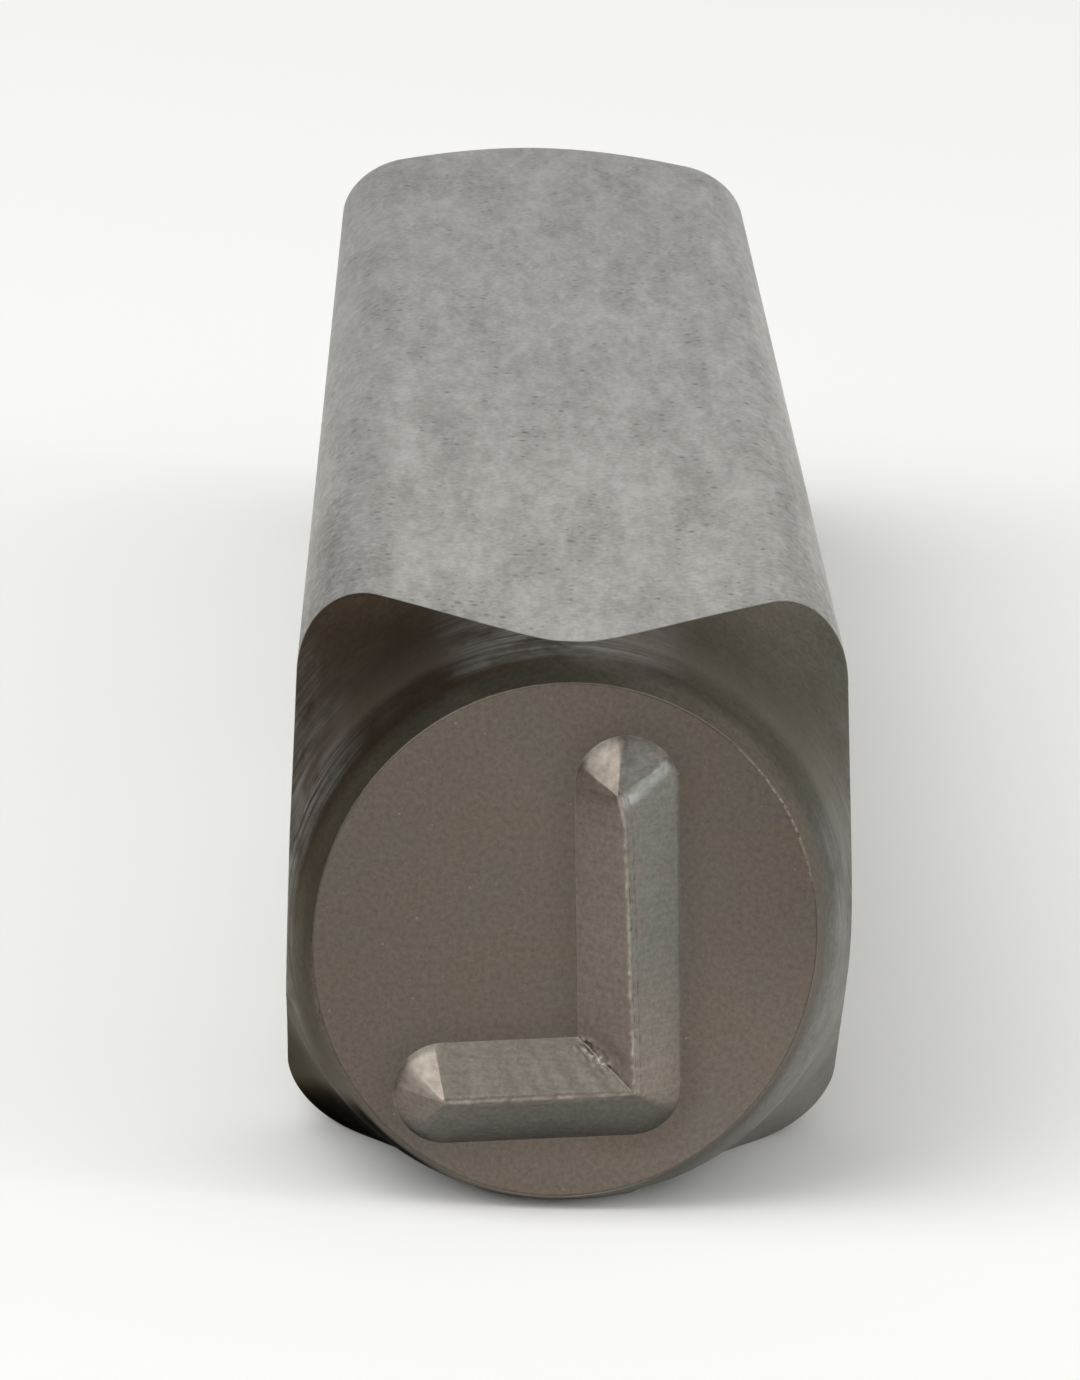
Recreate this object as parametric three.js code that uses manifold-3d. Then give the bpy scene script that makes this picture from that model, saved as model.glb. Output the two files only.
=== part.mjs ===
// A hand letter stamp: one bar of tool steel with a raised, mirrored letter L on its turned nose.
// It lies on one side of its square shank. Units are millimetres and +Z is up.
// The long axis runs along Y, with the letter at the -Y end and the struck head at the +Y end.
// The origin is the middle of the footprint, on the surface that the stamp lies on.

import * as THREE from 'three';
import { ConvexGeometry } from 'three/addons/geometries/ConvexGeometry.js';
import { mergeVertices } from 'three/addons/utils/BufferGeometryUtils.js';
import Module from 'manifold-3d';

const wasm = await Module();
wasm.setup();

// Driving dimensions of the whole stamp
const overallLength = 70;
const shankSide = 10;
const cornerRadius = 1.44;

// Nose, from the letter's ground up to the square shank
const groundRadius = 4.53;
const bevelRadius = 5.1;
const bevelDepth = 1.42;
const waistRadius = 5.04;
const waistDepth = 0.26;
const coveRadius = 11.64;
const noseOffsetX = -0.11;
const noseOffsetZ = -0.09;

// Head, a cone from the square shank down to the round struck face
const struckRadius = 3.3;
const headHalfAngle = THREE.MathUtils.degToRad(22.6);

// Letter, a mirrored L whose strokes are ridges with sloped flanks and round ends
const letterHeight = 0.8;
const strokeHalfWidth = 0.91;
const ridgeHalfWidth = 0.06;
const stemLength = 5.37;
const footLength = 3.27;
const cornerX = 1.12;
const cornerZ = -2.65;
const stemLean = THREE.MathUtils.degToRad(2.4);
const footDrop = THREE.MathUtils.degToRad(4.1);
const ridgeTopShift = -0.1;
const letterRoot = 0.3;

// One overrun that the stock shapes stand past the cuts that trim them
const overrun = 2;

// Fineness of the round stretches
const turnedSides = 96;
const cornerSteps = 8;
const coveSteps = 12;
const strokeEndSteps = 12;
const ridgeEndSteps = 4;

// Places along Y, and the height of the shank's middle above the surface
const letterTopY = -overallLength / 2;
const groundY = letterTopY + letterHeight;
const struckY = overallLength / 2;
const middleZ = shankSide / 2;

// A radius that clears the corners of the square bar all round
const clearRadius = shankSide;

function toSolid(geometry) {
  geometry.deleteAttribute('normal');
  geometry.deleteAttribute('uv');
  const merged = mergeVertices(geometry);
  const mesh = new wasm.Mesh({
    numProp: 3,
    vertProperties: Float32Array.from(merged.attributes.position.array),
    triVerts: Uint32Array.from(merged.index.array),
  });
  return new wasm.Manifold(mesh);
}

function toGeometry(solid) {
  const mesh = solid.getMesh();
  const geometry = new THREE.BufferGeometry();
  geometry.setAttribute('position', new THREE.BufferAttribute(mesh.vertProperties, 3));
  geometry.setIndex(new THREE.BufferAttribute(mesh.triVerts, 1));
  geometry.computeVertexNormals();
  return geometry;
}

// The rolled bar: a square with rounded corners, drawn out along Y past both ends of the stamp
function makeBar() {
  const half = shankSide / 2;
  const arcCentre = half - cornerRadius;
  const section = new THREE.Shape();
  section.absarc(arcCentre, arcCentre, cornerRadius, 0, Math.PI / 2);
  section.absarc(-arcCentre, arcCentre, cornerRadius, Math.PI / 2, Math.PI);
  section.absarc(-arcCentre, -arcCentre, cornerRadius, Math.PI, Math.PI * 3 / 2);
  section.absarc(arcCentre, -arcCentre, cornerRadius, Math.PI * 3 / 2, Math.PI * 2);
  const bar = new THREE.ExtrudeGeometry(section, {
    depth: overallLength + overrun * 2,
    bevelEnabled: false,
    curveSegments: cornerSteps,
  });
  bar.rotateX(-Math.PI / 2);
  bar.translate(0, -overallLength / 2 - overrun, middleZ);
  return toSolid(bar);
}

// The turned nose: a bevel round the letter's ground, and a cove that opens past the bar's corners
function makeNoseEnvelope() {
  const points = [
    new THREE.Vector2(0, groundY),
    new THREE.Vector2(groundRadius, groundY),
    new THREE.Vector2(bevelRadius, groundY + bevelDepth),
  ];
  const coveStart = Math.asin((bevelDepth - waistDepth) / coveRadius);
  const coveEnd = Math.acos(1 - (clearRadius - waistRadius) / coveRadius);
  for (let step = 1; step <= coveSteps; step += 1) {
    const angle = THREE.MathUtils.lerp(coveStart, coveEnd, step / coveSteps);
    const radius = waistRadius + coveRadius * (1 - Math.cos(angle));
    points.push(new THREE.Vector2(radius, groundY + waistDepth + coveRadius * Math.sin(angle)));
  }
  points.push(new THREE.Vector2(clearRadius, struckY + overrun));
  points.push(new THREE.Vector2(0, struckY + overrun));
  const envelope = new THREE.LatheGeometry(points, turnedSides);
  envelope.translate(noseOffsetX, 0, middleZ + noseOffsetZ);
  return toSolid(envelope);
}

// The ground head: a cone that the hammer blow meets, with a flat struck face at its end
function makeHeadEnvelope() {
  const coneLength = (clearRadius - struckRadius) / Math.tan(headHalfAngle);
  const points = [
    new THREE.Vector2(0, letterTopY - overrun),
    new THREE.Vector2(clearRadius, letterTopY - overrun),
    new THREE.Vector2(clearRadius, struckY - coneLength),
    new THREE.Vector2(struckRadius, struckY),
    new THREE.Vector2(0, struckY),
  ];
  const envelope = new THREE.LatheGeometry(points, turnedSides);
  envelope.translate(0, 0, middleZ);
  return toSolid(envelope);
}

// One stroke of the letter: the body stretched between a round-ended base and its narrow ridge,
// whose far end stands a little to one side of the middle of the base
function makeStroke(startX, startZ, endX, endZ, ridgeShift) {
  const direction = Math.atan2(endZ - startZ, endX - startX);
  const points = [];
  const addRing = (y, radius, steps, shift) => {
    for (let step = 0; step <= steps; step += 1) {
      const turn = direction - Math.PI / 2 + Math.PI * step / steps;
      const dx = radius * Math.cos(turn);
      const dz = radius * Math.sin(turn);
      points.push(new THREE.Vector3(endX + shift + dx, y, endZ + dz));
      points.push(new THREE.Vector3(startX - dx, y, startZ - dz));
    }
  };
  addRing(groundY + letterRoot, strokeHalfWidth, strokeEndSteps, 0);
  addRing(groundY, strokeHalfWidth, strokeEndSteps, 0);
  addRing(letterTopY, ridgeHalfWidth, ridgeEndSteps, ridgeShift);
  return toSolid(new ConvexGeometry(points));
}

function makeLetter() {
  const z = middleZ + cornerZ;
  const stemTopX = cornerX - stemLength * Math.sin(stemLean);
  const stemTopZ = z + stemLength * Math.cos(stemLean);
  const footEndX = cornerX - footLength * Math.cos(footDrop);
  const footEndZ = z - footLength * Math.sin(footDrop);
  const stem = makeStroke(cornerX, z, stemTopX, stemTopZ, ridgeTopShift);
  const foot = makeStroke(cornerX, z, footEndX, footEndZ, 0);
  return stem.add(foot);
}

const turned = makeBar().intersect(makeNoseEnvelope()).intersect(makeHeadEnvelope());
const stamp = turned.add(makeLetter());

const toolSteel = new THREE.MeshStandardMaterial({
  name: 'tool_steel',
  color: 0x8f8f8b,
  roughness: 0.42,
  metalness: 1,
});

const stampBody = new THREE.Mesh(toGeometry(stamp), toolSteel);
stampBody.name = 'stamp_body';

const group = new THREE.Group();
group.name = 'letter_stamp';
group.add(stampBody);

export default group;
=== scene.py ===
# %% [markdown]
# # A hand letter stamp
# A letter stamp is one bar of hardened tool steel. Its near end is turned to a round nose that
# carries a raised, mirrored letter, and its far end is ground to a taper that a hammer strikes.
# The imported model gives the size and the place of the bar, and this script dresses it: one fine
# mesh of the whole bar, a steel finish for each surface, a camera and a small light tent.

# %% Load the frame
import math

import bmesh
import bpy
from mathutils import Matrix, Vector, noise


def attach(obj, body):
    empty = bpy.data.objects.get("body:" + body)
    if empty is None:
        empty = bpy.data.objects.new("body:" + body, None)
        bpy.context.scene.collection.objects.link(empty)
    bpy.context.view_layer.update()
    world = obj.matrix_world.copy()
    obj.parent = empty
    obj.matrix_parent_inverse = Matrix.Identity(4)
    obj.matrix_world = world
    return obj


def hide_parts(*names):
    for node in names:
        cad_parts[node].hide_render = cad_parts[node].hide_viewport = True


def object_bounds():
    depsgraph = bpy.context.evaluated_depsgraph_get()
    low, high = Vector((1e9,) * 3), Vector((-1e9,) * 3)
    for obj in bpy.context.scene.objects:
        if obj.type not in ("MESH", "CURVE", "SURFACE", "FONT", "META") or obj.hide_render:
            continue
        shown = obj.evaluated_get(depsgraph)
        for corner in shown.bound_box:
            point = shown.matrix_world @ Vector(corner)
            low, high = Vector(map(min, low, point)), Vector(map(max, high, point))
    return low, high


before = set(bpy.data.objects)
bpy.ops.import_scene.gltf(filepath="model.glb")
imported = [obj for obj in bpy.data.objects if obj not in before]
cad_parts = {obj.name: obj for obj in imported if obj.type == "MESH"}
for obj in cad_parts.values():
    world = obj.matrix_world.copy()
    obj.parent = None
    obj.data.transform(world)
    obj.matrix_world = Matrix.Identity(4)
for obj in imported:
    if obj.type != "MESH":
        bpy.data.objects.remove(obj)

cad_low, cad_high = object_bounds()
print("CAD box", [round(value, 4) for value in (*cad_low, *cad_high)])

# %% [markdown]
# Every size below is a real size. The length and the side of the bar come from the frame, so the
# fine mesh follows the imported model, and the rest are the sizes that a maker would read off the
# nose and the letter with a loupe. The nose was turned a tenth of a millimetre out of the bar's
# middle, which is common on a tool whose shank is only rolled to size.

# %% Sizes of the stamp
MM = 0.001
BODY_NODE = "stamp_body"

half_side = (cad_high.x - cad_low.x) / 2
middle = Vector((0, 0, (cad_low.z + cad_high.z) / 2))
letter_top_y = cad_low.y
struck_y = cad_high.y

CORNER_RADIUS = 1.44 * MM
LETTER_HEIGHT = 0.8 * MM
ground_y = letter_top_y + LETTER_HEIGHT

GROUND_RADIUS = 4.53 * MM
BEVEL_RADIUS = 5.1 * MM
WAIST_RADIUS = 5.04 * MM
WAIST_DEPTH = 0.26 * MM
COVE_RADIUS = 11.64 * MM
NOSE_OFFSET = Vector((-0.11 * MM, 0, -0.09 * MM))

STRUCK_RADIUS = 3.3 * MM
HEAD_HALF_ANGLE = math.radians(22.6)
print("bar", round(half_side * 2 / MM, 2), "mm square,",
      round((struck_y - letter_top_y) / MM, 2), "mm long")

# %% [markdown]
# The camera stands where the photograph was taken from: low in front of the letter, a hand's
# width away, behind a long lens. The focal length is given in pixels of the photograph, which is
# the form that a camera fit gives, and one line turns it into the lens of a 36 mm sensor.

# %% Camera
FRAME_HEIGHT_PX = 1380
FOCAL_PX = 8000
SENSOR_MM = 36
CAMERA_PLACE = Vector((-2.73 * MM, -136.42 * MM, 32.61 * MM))
CAMERA_YAW = 0.0151
CAMERA_PITCH = 0.2039
CAMERA_ROLL = 0.0286

nose_point = middle + Vector((0, ground_y, 0))
camera = bpy.data.objects.new("camera", bpy.data.cameras.new("camera"))
camera.data.sensor_width = SENSOR_MM
camera.data.lens = SENSOR_MM * FOCAL_PX / FRAME_HEIGHT_PX
camera.data.clip_start = 1 * MM
turn = Matrix.Rotation(-CAMERA_YAW, 4, "Z")
tilt = Matrix.Rotation(math.pi / 2 - CAMERA_PITCH, 4, "X")
roll = Matrix.Rotation(CAMERA_ROLL, 4, "Z")
camera.matrix_world = Matrix.Translation(nose_point + CAMERA_PLACE) @ turn @ tilt @ roll
bpy.context.scene.collection.objects.link(camera)
bpy.context.scene.camera = camera
print("lens", round(camera.data.lens, 1), "mm")

# %% [markdown]
# The bar is a rounded square all along, so its mesh is a set of lengthwise columns, one for each
# point of the section. A column starts at the edge of the letter's ground, runs over the rim and
# the bevel, through the cove to the crease where the cove meets the square, and then along the
# shank and down the taper to the struck face. Each of those edges is a row of the mesh, so each
# can be rounded by its own small amount, as tumbling and handling round the real ones. Booleans
# would give the same edges, but with no even grid of faces to round and to shade.

# %% Section of the bar
FLAT_STEPS = 96
ARC_STEPS = 32


def bar_section():
    """Points round the rounded square, as offsets from the middle of the bar."""
    centre = half_side - CORNER_RADIUS
    points = []
    for side in range(4):
        quarter = Matrix.Rotation(-side * math.pi / 2, 3, "Y")
        for step in range(FLAT_STEPS):
            along = centre * (2 * step / FLAT_STEPS - 1)
            points.append(quarter @ Vector((half_side, 0, along)))
        for step in range(ARC_STEPS):
            angle = math.pi / 2 * step / ARC_STEPS
            corner = Vector((math.cos(angle), 0, math.sin(angle))) * CORNER_RADIUS
            points.append(quarter @ (Vector((centre, 0, centre)) + corner))
    return points


section = bar_section()
print("section of", len(section), "points")

# %% [markdown]
# The ground isn't quite round on the real stamp: it is about 0.4 mm taller than wide, with its
# long axis leaning to the right, and the rim behind it is widest at the top. On the upper right
# the edge carries a fine burr that the last cut of the lathe left behind.

# %% Edge of the ground
OVAL = 0.115 * MM
OVAL_LEAN = math.radians(75)
BURR = 0.014 * MM
BURR_MIDDLE = math.radians(32)
BURR_SPREAD = math.radians(24)
BURR_GRAIN = 0.3 * MM


def oval(angle):
    """How far the ground's edge stands out of round at an angle about the nose."""
    return OVAL * math.cos(2 * (angle - OVAL_LEAN))


def burr(angle):
    """Height of the burr on the ground's edge at an angle about the nose."""
    way = Vector((math.cos(angle), 0, math.sin(angle)))
    lumps = 1 + noise.noise(way * GROUND_RADIUS / BURR_GRAIN)
    return BURR * lumps * math.exp(-(((angle - BURR_MIDDLE) / BURR_SPREAD) ** 2))


print("ground", round((GROUND_RADIUS + oval(0)) * 2 / MM, 2), "mm wide,",
      round((GROUND_RADIUS + oval(math.pi / 2)) * 2 / MM, 2), "mm high")

# %% Profile of the nose
RIM_WIDTH = 0.22 * MM
RIM_WIDTH_LEAN = 0.06 * MM
RIM_DEPTH = 0.6 * MM
RIM_DEPTH_LEAN = 0.15 * MM
BEVEL_SHARE = 0.6


def cove_depth(radius):
    """How far behind the ground the cove reaches a radius."""
    run = radius - WAIST_RADIUS
    return WAIST_DEPTH + math.sqrt(COVE_RADIUS**2 - (COVE_RADIUS - run) ** 2)


def nose_profile(angle, reach):
    """Radius and depth of the ground's edge, the rim, the bevel and the crease at an angle."""
    ground = GROUND_RADIUS + oval(angle)
    rim = ground + RIM_WIDTH + RIM_WIDTH_LEAN * math.sin(angle)
    rim_depth = RIM_DEPTH + RIM_DEPTH_LEAN * math.sin(angle)
    bevel_depth = cove_depth(BEVEL_RADIUS)

    def depth_at(radius):
        if radius > BEVEL_RADIUS:
            return cove_depth(radius)
        return rim_depth + (bevel_depth - rim_depth) * (radius - rim) / (BEVEL_RADIUS - rim)

    bevel = min(BEVEL_RADIUS, rim + (reach - rim) * BEVEL_SHARE)
    return (ground, 0), (rim, rim_depth), (bevel, depth_at(bevel)), (reach, depth_at(reach))


print("bevel", round(cove_depth(BEVEL_RADIUS) / MM, 2), "mm deep")

# %% Marks of one column
GROUND_MARGIN = 0.1 * MM
STRUCK_MARGIN = 0.6 * MM


def column_marks(corner):
    """The edges that a column passes, from the ground to the struck face."""
    spoke = corner - NOSE_OFFSET
    reach = spoke.length
    spoke.normalize()
    angle = math.atan2(spoke.z, spoke.x)
    ground, rim, bevel, crease = nose_profile(angle, reach)

    def at(radius, depth):
        return nose_point + NOSE_OFFSET + spoke * radius + Vector((0, depth, 0))

    outward = corner.normalized()
    head_run = (corner.length - STRUCK_RADIUS) / math.tan(HEAD_HALF_ANGLE)
    struck_point = middle + Vector((0, struck_y, 0))
    return [
        at(ground[0] - GROUND_MARGIN, 0),
        at(*ground),
        at(*rim),
        at(*bevel),
        at(*crease),
        middle + corner + Vector((0, struck_y - head_run, 0)),
        struck_point + outward * STRUCK_RADIUS,
        struck_point + outward * (STRUCK_RADIUS - STRUCK_MARGIN),
    ]


print(len(column_marks(section[0])), "marks on a column")

# %% Rows of one column
STRETCH_STEPS = [2, 10, 8, 28, 60, 20, 4]
CUTS = [0, 0.04 * MM, 0.2 * MM, 0.35 * MM, 0.08 * MM, 0.3 * MM, 0.35 * MM, 0]
COVE_STRETCH = 3
CORNER_STEPS = 6
LARGEST_CUT_SHARE = 0.45


def bowed(start, end, share, radius, inward):
    """A point on the arc from start to end that bends inward."""
    chord = end - start
    half = chord.length / 2
    across = (inward - inward.project(chord)).normalized()
    sag = math.sqrt(radius**2 - (half * (2 * share - 1)) ** 2) - math.sqrt(radius**2 - half**2)
    return start + chord * share + across * sag


def rounded(start, corner, end, share):
    """A point on the curve that rounds a corner between two points beside it."""
    return start.lerp(corner, share).lerp(corner.lerp(end, share), share)


def column_rows(marks):
    """All the points of one column, with each edge rounded by its cut."""
    lengths = [(after - before).length for before, after in zip(marks, marks[1:])]
    cuts = [0.0] * len(marks)
    for place in range(1, len(marks) - 1):
        wall = min(lengths[place - 1], lengths[place])
        cuts[place] = min(CUTS[place], wall * LARGEST_CUT_SHARE)
    rows = []
    for stretch, steps in enumerate(STRETCH_STEPS):
        start, end = marks[stretch], marks[stretch + 1]
        first = cuts[stretch] / lengths[stretch]
        last = 1 - cuts[stretch + 1] / lengths[stretch]
        points = []
        for step in range(steps + 1):
            share = first + (last - first) * step / steps
            if stretch == COVE_STRETCH:
                inward = middle + Vector((0, start.y, 0)) - start
                points.append(bowed(start, end, share, COVE_RADIUS, inward))
            else:
                points.append(start.lerp(end, share))
        if stretch:
            for step in range(1, CORNER_STEPS):
                rows.append(rounded(before_corner, start, points[0], step / CORNER_STEPS))
        rows.extend(points)
        before_corner = points[-1]
    return rows


def with_burr(rows, corner):
    """The column with its share of the burr raised on the rounded edge of the ground."""
    spoke = (corner - NOSE_OFFSET).normalized()
    height = burr(math.atan2(spoke.z, spoke.x))
    first = STRETCH_STEPS[0] + 1
    for step in range(1, CORNER_STEPS):
        bell = math.sin(math.pi * step / CORNER_STEPS)
        rows[first + step - 1] += (spoke - Vector((0, 1, 0))) * height * bell
    return rows


columns = [with_burr(column_rows(column_marks(corner)), corner) for corner in section]
print(len(columns), "columns of", len(columns[0]), "rows")

# %% [markdown]
# Each row belongs to one surface of the stamp, and each surface has its own finish. The strips
# between rows take their finish from the stretch that they lie in, and a rounded edge goes half
# to each neighbour. Rows on an edge also carry a wear value, which only the ground's finish reads.

# %% Finish and wear of each row
GROUND, NOSE, SHANK, TAPER, STRUCK, LETTER = range(6)
STRETCH_FINISHES = [GROUND, NOSE, NOSE, NOSE, SHANK, TAPER, STRUCK]
EDGE_WEAR = [0, 1, 0, 0, 0.6, 0.5, 1]


def row_plan():
    """The finish of each strip between two rows, and the wear of each row."""
    strip_finishes, row_wear = [], []
    for stretch, steps in enumerate(STRETCH_STEPS):
        if stretch:
            half = CORNER_STEPS // 2
            strip_finishes.extend([STRETCH_FINISHES[stretch - 1]] * half)
            strip_finishes.extend([STRETCH_FINISHES[stretch]] * (CORNER_STEPS - half))
            row_wear.extend([EDGE_WEAR[stretch]] * (CORNER_STEPS - 1))
        strip_finishes.extend([STRETCH_FINISHES[stretch]] * steps)
        row_wear.extend([0] * (steps + 1))
    return strip_finishes, row_wear


strip_finishes, row_wear = row_plan()
print(len(strip_finishes), "strips,", sum(1 for wear_and_highlight in row_wear if wear_and_highlight), "worn rows")

# %% [markdown]
# The struck face was ground flat, and the hammer has left shallow round dents in it. Each dent is
# a low cap cut into the face, a few hundredths of a millimetre deep, and their places follow a
# sunflower spiral, which spreads any number of spots evenly over a disc.

# %% Dents of the struck face
STRUCK_RINGS = 26
DENTS = 11
DENT_DEPTH = 0.035 * MM
DENT_RADIUS = 1.05 * MM
DENT_SPREAD = 0.72
GOLDEN_ANGLE = math.radians(137.5)


def dent_depth(offset):
    """How deep the hammer's dents are at an offset from the middle of the struck face."""
    deepest = 0
    for dent in range(DENTS):
        angle = dent * GOLDEN_ANGLE
        reach = STRUCK_RADIUS * DENT_SPREAD * math.sqrt((dent + 0.5) / DENTS)
        centre = Vector((math.cos(angle), 0, math.sin(angle))) * reach
        share = (offset - centre).length / DENT_RADIUS
        strength = 0.6 + 0.4 * noise.noise(centre / MM)
        deepest = max(deepest, strength * (1 - share**2))
    return DENT_DEPTH * deepest


def struck_rings(outer):
    """Rings of points from the rounded edge of the struck face to near its middle."""
    centre = middle + Vector((0, struck_y, 0))
    rings = []
    for ring in range(1, STRUCK_RINGS):
        share = 1 - ring / STRUCK_RINGS
        points = []
        for point in outer:
            offset = (point - centre) * share
            points.append(centre + offset - Vector((0, dent_depth(offset), 0)))
        rings.append(points)
    return rings


bar_rows = [list(row) for row in zip(*columns)]
dented = struck_rings(bar_rows[-1])
print(len(dented), "rings in the struck face")

# %% [markdown]
# The letter is a mirrored L, so that it prints the right way round. It was pressed into the hot
# or annealed nose by a master die, which gives each stroke a sharp ridge, sloped flanks and round
# ends. The ridge isn't quite in the middle: along the stem it wanders from the right of the
# middle at the corner to the left of it at the top, and hooks over at its end.

# %% Strokes of the letter
STROKE_HALF_WIDTH = 0.91 * MM
STEM_LENGTH = 5.37 * MM
FOOT_LENGTH = 3.27 * MM
LETTER_CORNER = Vector((1.12 * MM, 0, -2.65 * MM))
STEM_LEAN = math.radians(2.4)
FOOT_DROP = math.radians(4.1)

stem_way = Vector((-math.sin(STEM_LEAN), 0, math.cos(STEM_LEAN)))
foot_way = Vector((-math.cos(FOOT_DROP), 0, -math.sin(FOOT_DROP)))
corner_sine = stem_way.cross(foot_way).length
stem_side = (foot_way - foot_way.project(stem_way)).normalized()
foot_side = (stem_way - stem_way.project(foot_way)).normalized()
inner_way = (stem_way + foot_way) / corner_sine
stem_top = LETTER_CORNER + stem_way * STEM_LENGTH
foot_end = LETTER_CORNER + foot_way * FOOT_LENGTH
print("ends of the strokes", [round(value / MM, 2) for value in (*stem_top, *foot_end)])

# %% Path of the ridge
CORNER_SHIFT = 0.05 * MM
CORNER_FADE = 4
STEM_SHIFT = -0.07 * MM
FOOT_RISE = 0.02 * MM
HOOK = 0.1 * MM
HOOK_START = 0.86
RIDGE_WANDER = 0.012 * MM
WANDER_GRAIN = 0.3 * MM


def wandering(place):
    """A ridge point moved a little by the die's own unevenness."""
    grain = place / WANDER_GRAIN
    return place + Vector((noise.noise(grain), 0, noise.noise(grain.zyx))) * RIDGE_WANDER


def stem_ridge(share):
    """The ridge of the stem, from the corner to its top."""
    hook = max(0, (share - HOOK_START) / (1 - HOOK_START)) ** 2 * HOOK
    across = CORNER_SHIFT * (1 - share) + STEM_SHIFT * share - hook
    rise = CORNER_SHIFT * (1 - share) ** CORNER_FADE
    return wandering(LETTER_CORNER.lerp(stem_top, share) + Vector((across, 0, rise)))


def foot_ridge(share):
    """The ridge of the foot, from the corner to its end."""
    fade = (1 - share) ** CORNER_FADE
    shift = Vector((CORNER_SHIFT * fade, 0, FOOT_RISE + (CORNER_SHIFT - FOOT_RISE) * fade))
    return wandering(LETTER_CORNER.lerp(foot_end, share) + shift)


print("ridge corner", [round(value / MM, 3) for value in stem_ridge(0)])

# %% [markdown]
# The letter's mesh is a set of closed contours about the L, each a little nearer to the ridge and
# higher than the last. All have the same number of points, one for each rib that runs from the
# ridge down to the ground, so neighbours join in strips. At the two ends the die was cut with
# flat facets, which meet in soft creases above the round base. Some of the facets get a painted
# highlight, so each rib there carries a share of it for its range of angles, in degrees. The
# crest of the foot is worn rounder than the crest of the stem.

# %% Ribs of the letter
STEM_STEPS = 190
FOOT_STEPS = 120
END_STEPS = 90
OUTER_STEPS = 24
STEM_FACETS = [math.radians(angle) for angle in (-90, -38, 28, 90)]
FOOT_FACETS = [math.radians(angle) for angle in (-90, -18, 74, 90)]
LARGEST_STRETCH = 1.15
# Painted highlights on the end facets: each range of angles, in degrees, gets its share.
STEM_FACET_HIGHLIGHT = [(-90, 90, 0), (-66, -5, 0.36), (-5, 60, 0.3)]
FOOT_FACET_HIGHLIGHT = [(-90, 90, 0), (-48, 12, 0.13), (12, 28, 0.36), (28, 82, 0.47)]
CREST_ROUND = 0.04 * MM
FOOT_CREST_ROUND = 0.1 * MM
FOOT_CREST_START = 0.25
FOOT_GROOVE = 0.25


def rib(base, way, ridge, groove, crest=CREST_ROUND, stretch=1.0, facet_highlight=0.0):
    """One rib: its foot on the ground, its way outward, its ridge point and its own shape."""
    foot = base + way * STROKE_HALF_WIDTH
    shape = {"foot": foot, "way": way, "ridge": ridge, "groove": groove}
    return {**shape, "crest": crest, "stretch": stretch, "facet_highlight": facet_highlight}


def foot_crest(share):
    """The radius that the crest of the foot is worn to, from the corner to its end."""
    return CREST_ROUND + (FOOT_CREST_ROUND - CREST_ROUND) * min(1, share / FOOT_CREST_START)


def end_ribs(base, ridge, stroke_way, first, facets, highlighted, groove, crest):
    """Ribs round the end of a stroke, from one side to the other."""
    ribs = []
    for step in range(END_STEPS):
        angle = math.pi * (step / END_STEPS - 0.5)
        way = stroke_way * math.cos(angle) - first * math.sin(angle)
        off_facet = min(abs(angle - facet) for facet in facets)
        stretch = min(1 / math.cos(off_facet), LARGEST_STRETCH)
        degrees = math.degrees(angle)
        facet_highlight = max(share for start, end, share in highlighted if start <= degrees <= end)
        side_groove = groove if step > END_STEPS / 2 else 0
        ribs.append(rib(base, way, ridge, side_groove, crest, stretch, facet_highlight))
    return ribs


def corner_ribs():
    """Ribs round the outside of the letter's corner."""
    start, end = -stem_side, -foot_side
    full = math.acos(start.dot(end))
    across = (end - end.project(start)).normalized()
    ribs = []
    for step in range(OUTER_STEPS):
        angle = full * step / OUTER_STEPS
        way = start * math.cos(angle) + across * math.sin(angle)
        groove = 1 + (FOOT_GROOVE - 1) * step / OUTER_STEPS
        ribs.append(rib(LETTER_CORNER, way, stem_ridge(0), groove))
    return ribs


def letter_ribs():
    """All the ribs of the letter, in order about it."""
    ribs = []
    for step in range(STEM_STEPS):
        share = step / STEM_STEPS
        base = LETTER_CORNER.lerp(stem_top, share)
        ribs.append(rib(base, inner_way.lerp(stem_side, share), stem_ridge(share), 0))
    stem_shape = (STEM_FACETS, STEM_FACET_HIGHLIGHT, 1, CREST_ROUND)
    ribs += end_ribs(stem_top, stem_ridge(1), stem_way, stem_side, *stem_shape)
    for step in range(STEM_STEPS):
        share = 1 - step / STEM_STEPS
        ribs.append(rib(LETTER_CORNER.lerp(stem_top, share), -stem_side, stem_ridge(share), 1))
    ribs += corner_ribs()
    for step in range(FOOT_STEPS):
        share = step / FOOT_STEPS
        base = LETTER_CORNER.lerp(foot_end, share)
        ribs.append(rib(base, -foot_side, foot_ridge(share), FOOT_GROOVE, foot_crest(share)))
    foot_shape = (FOOT_FACETS, FOOT_FACET_HIGHLIGHT, 0, FOOT_CREST_ROUND)
    ribs += end_ribs(foot_end, foot_ridge(1), foot_way, -foot_side, *foot_shape)
    for step in range(FOOT_STEPS):
        share = 1 - step / FOOT_STEPS
        base = LETTER_CORNER.lerp(foot_end, share)
        way = inner_way.lerp(foot_side, share)
        ribs.append(rib(base, way, foot_ridge(share), 0, foot_crest(share)))
    return ribs


ribs = letter_ribs()
print(len(ribs), "ribs")
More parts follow.
